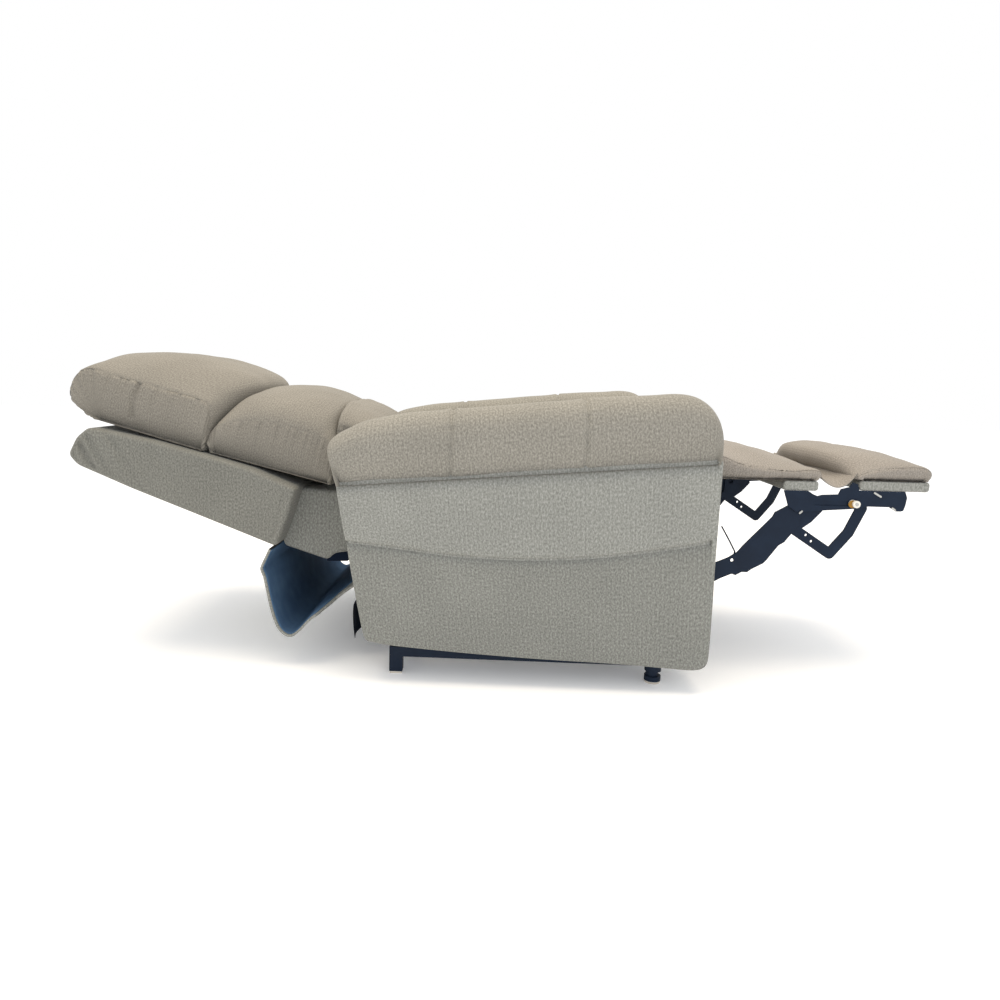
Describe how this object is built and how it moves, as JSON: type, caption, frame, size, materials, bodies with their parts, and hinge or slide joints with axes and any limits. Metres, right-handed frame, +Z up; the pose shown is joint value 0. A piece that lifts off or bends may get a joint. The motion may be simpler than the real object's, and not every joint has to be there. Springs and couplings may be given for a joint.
{
  "type": "lift recliner chair",
  "caption": "Powered lift recliner chair, laid back with footrest out: padded arms, pillow back, folding leg linkage and tilting lift base.",
  "frame": {"origin": "on the floor, at the centre of the reclined chair's footprint", "axes": "+X towards the foot end, +Y towards the sitter's left, +Z up"},
  "size_m": [1.8964, 0.8364, 0.7001],
  "materials": {
    "frame_steel": "dark blue-black powder coat, satin",
    "zinc_steel": "zinc-plated steel",
    "fabric_taupe": "warm grey woven upholstery with a fine slub",
    "fabric_dark": "dark navy lining cloth",
    "timber": "unfinished plywood",
    "black_plastic": "moulded black plastic",
    "grey_plastic": "moulded grey plastic",
    "white_nylon": "white nylon",
    "glide_metal": "pressed metal glide"
  },
  "bodies": {
    "base": {"base_frame": "frame_steel", "front_legs": "frame_steel", "floor_glides": "glide_metal", "base_pins": "zinc_steel", "lift_motor": "black_plastic"},
    "lift_rod": {"lift_motor_rod": "zinc_steel"},
    "lift_rear": {"lift_rear_links": "frame_steel"},
    "lift_front": {"lift_front_links": "frame_steel"},
    "carriage": {"carriage_frame": "frame_steel", "carriage_pins": "zinc_steel", "seat_side_plates": "frame_steel", "leg_motor": "black_plastic", "back_motor": "black_plastic", "control_box": "black_plastic", "seat_frame": "timber", "seat_springs": "zinc_steel", "seat_cushion": "fabric_taupe", "right_arm_body": "fabric_taupe", "left_arm_body": "fabric_taupe", "right_arm_lower_panel": "fabric_taupe", "left_arm_lower_panel": "fabric_taupe", "right_arm_upper_panel": "fabric_taupe", "left_arm_upper_panel": "fabric_taupe", "right_arm_top_pad": "fabric_taupe", "left_arm_top_pad": "fabric_taupe", "arm_frames": "timber", "arm_front_panels": "fabric_taupe", "cover_hinge_rod": "zinc_steel", "rear_dust_flap": "fabric_dark", "handset_pocket": "fabric_taupe"},
    "leg_rod": {"leg_motor_rod": "zinc_steel"},
    "back_rod": {"back_motor_rod": "zinc_steel"},
    "backrest": {"back_brackets": "frame_steel", "back_frame": "timber", "back_shell": "fabric_taupe", "lower_back_panel": "fabric_taupe", "head_pillow": "fabric_taupe", "lumbar_pillow": "fabric_taupe", "lower_pillow": "fabric_taupe"},
    "cover_lower": {"rear_cover_lower": "fabric_dark"},
    "cover_upper": {"rear_cover_upper": "fabric_dark"},
    "leg_drive": {"leg_drive_links": "frame_steel"},
    "leg_main": {"leg_main_links": "frame_steel", "leg_wires": "frame_steel"},
    "footrest": {"footrest_brackets": "frame_steel", "groove_rollers": "white_nylon", "footrest_rivets": "zinc_steel", "middle_board": "fabric_taupe", "foot_board": "fabric_taupe", "foot_pad": "fabric_taupe", "bridge_cloth": "fabric_taupe"},
    "leg_stay": {"leg_stay_links": "frame_steel"},
    "calf": {"calf_pad": "fabric_taupe"},
    "handset": {"handset": "black_plastic"},
    "lift_key": {"lift_key": "grey_plastic"},
    "lower_key": {"lower_key": "grey_plastic"},
    "back_up_key": {"back_up_key": "grey_plastic"},
    "back_down_key": {"back_down_key": "grey_plastic"},
    "legs_up_key": {"legs_up_key": "grey_plastic"},
    "legs_down_key": {"legs_down_key": "grey_plastic"}
  },
  "joints": [
    {"name": "lift", "type": "hinge", "parent": "base", "child": "lift_rear", "pos_m": [0.292, 0, 0.075], "axis": [0, 1, 0], "range_deg": [0, 34.91]},
    {"name": "lift_front", "type": "hinge", "parent": "base", "child": "lift_front", "pos_m": [0.33899, 0, 0.07784], "axis": [0, 1, 0], "range_deg": [0, 45.3]},
    {"name": "lift_tilt", "type": "hinge", "parent": "lift_rear", "child": "carriage", "pos_m": [-0.15, 0, 0.11], "axis": [0, 1, 0], "range_deg": [-10.3, 0]},
    {"name": "lift_rod", "type": "slide", "parent": "base", "child": "lift_rod", "axis": [1, 0, 0], "range_m": [0, 0.0727]},
    {"name": "recline", "type": "hinge", "parent": "carriage", "child": "backrest", "pos_m": [-0.23, 0, 0.34], "axis": [0, 1, 0], "range_deg": [0, 56]},
    {"name": "cover_lower", "type": "hinge", "parent": "carriage", "child": "cover_lower", "pos_m": [-0.22648, 0, 0.18869], "axis": [0, 1, 0], "range_deg": [0, 63.8]},
    {"name": "cover_upper", "type": "hinge", "parent": "cover_lower", "child": "cover_upper", "pos_m": [-0.463, 0, 0.071], "axis": [0, 1, 0], "range_deg": [-50.1, 0]},
    {"name": "back_rod", "type": "slide", "parent": "carriage", "child": "back_rod", "axis": [-1, 0, 0], "range_m": [0, 0.0463]},
    {"name": "footrest", "type": "hinge", "parent": "carriage", "child": "leg_drive", "pos_m": [0.335, 0, 0.382], "axis": [0, 1, 0], "range_deg": [0, 94.43]},
    {"name": "leg_main", "type": "hinge", "parent": "leg_drive", "child": "leg_main", "pos_m": [0.482, 0, 0.226], "axis": [0, 1, 0], "range_deg": [-68.2, 0]},
    {"name": "footrest_bracket", "type": "hinge", "parent": "leg_main", "child": "footrest", "pos_m": [0.662, 0, 0.385], "axis": [0, 1, 0], "range_deg": [0, 63.8], "deforming": ["bridge_cloth"]},
    {"name": "leg_stay", "type": "hinge", "parent": "footrest", "child": "leg_stay", "pos_m": [0.795, 0, 0.398], "axis": [0, 1, 0], "range_deg": [0, 2.7]},
    {"name": "calf_pad", "type": "hinge", "parent": "carriage", "child": "calf", "pos_m": [0.465, 0, 0.445], "axis": [0, 1, 0], "range_deg": [0, 90.1]},
    {"name": "leg_rod", "type": "slide", "parent": "carriage", "child": "leg_rod", "axis": [-1, 0, 0], "range_m": [0, 0.1001]},
    {"name": "handset_lift_out", "type": "slide", "parent": "carriage", "child": "handset", "axis": [0, 0, 1], "range_m": [0, 0.12]},
    {"name": "lift_key_press", "type": "slide", "parent": "handset", "child": "lift_key", "axis": [0, -1, 0], "range_m": [0, 0.0015], "stiffness_N_per_m": 400, "springref_m": -0.0005},
    {"name": "lower_key_press", "type": "slide", "parent": "handset", "child": "lower_key", "axis": [0, -1, 0], "range_m": [0, 0.0015], "stiffness_N_per_m": 400, "springref_m": -0.0005},
    {"name": "back_up_key_press", "type": "slide", "parent": "handset", "child": "back_up_key", "axis": [0, -1, 0], "range_m": [0, 0.0015], "stiffness_N_per_m": 400, "springref_m": -0.0005},
    {"name": "back_down_key_press", "type": "slide", "parent": "handset", "child": "back_down_key", "axis": [0, -1, 0], "range_m": [0, 0.0015], "stiffness_N_per_m": 400, "springref_m": -0.0005},
    {"name": "legs_up_key_press", "type": "slide", "parent": "handset", "child": "legs_up_key", "axis": [0, -1, 0], "range_m": [0, 0.0015], "stiffness_N_per_m": 400, "springref_m": -0.0005},
    {"name": "legs_down_key_press", "type": "slide", "parent": "handset", "child": "legs_down_key", "axis": [0, -1, 0], "range_m": [0, 0.0015], "stiffness_N_per_m": 400, "springref_m": -0.0005}
  ],
  "couplings": [
    {"joint": "lift_front", "follows": "lift", "ratio": 1.2965},
    {"joint": "lift_tilt", "follows": "lift", "ratio": -0.2939},
    {"joint": "lift_rod", "follows": "lift", "m_per_rad": 0.11915},
    {"joint": "cover_lower", "follows": "recline", "ratio": 1.1378},
    {"joint": "cover_upper", "follows": "recline", "ratio": -0.89349},
    {"joint": "back_rod", "follows": "recline", "m_per_rad": 0.047269},
    {"joint": "leg_main", "follows": "footrest", "ratio": -0.72075},
    {"joint": "footrest_bracket", "follows": "footrest", "ratio": 0.67383},
    {"joint": "leg_stay", "follows": "footrest", "ratio": 0.028182},
    {"joint": "calf_pad", "follows": "footrest", "ratio": 0.95307},
    {"joint": "leg_rod", "follows": "footrest", "m_per_rad": 0.060675}
  ]
}
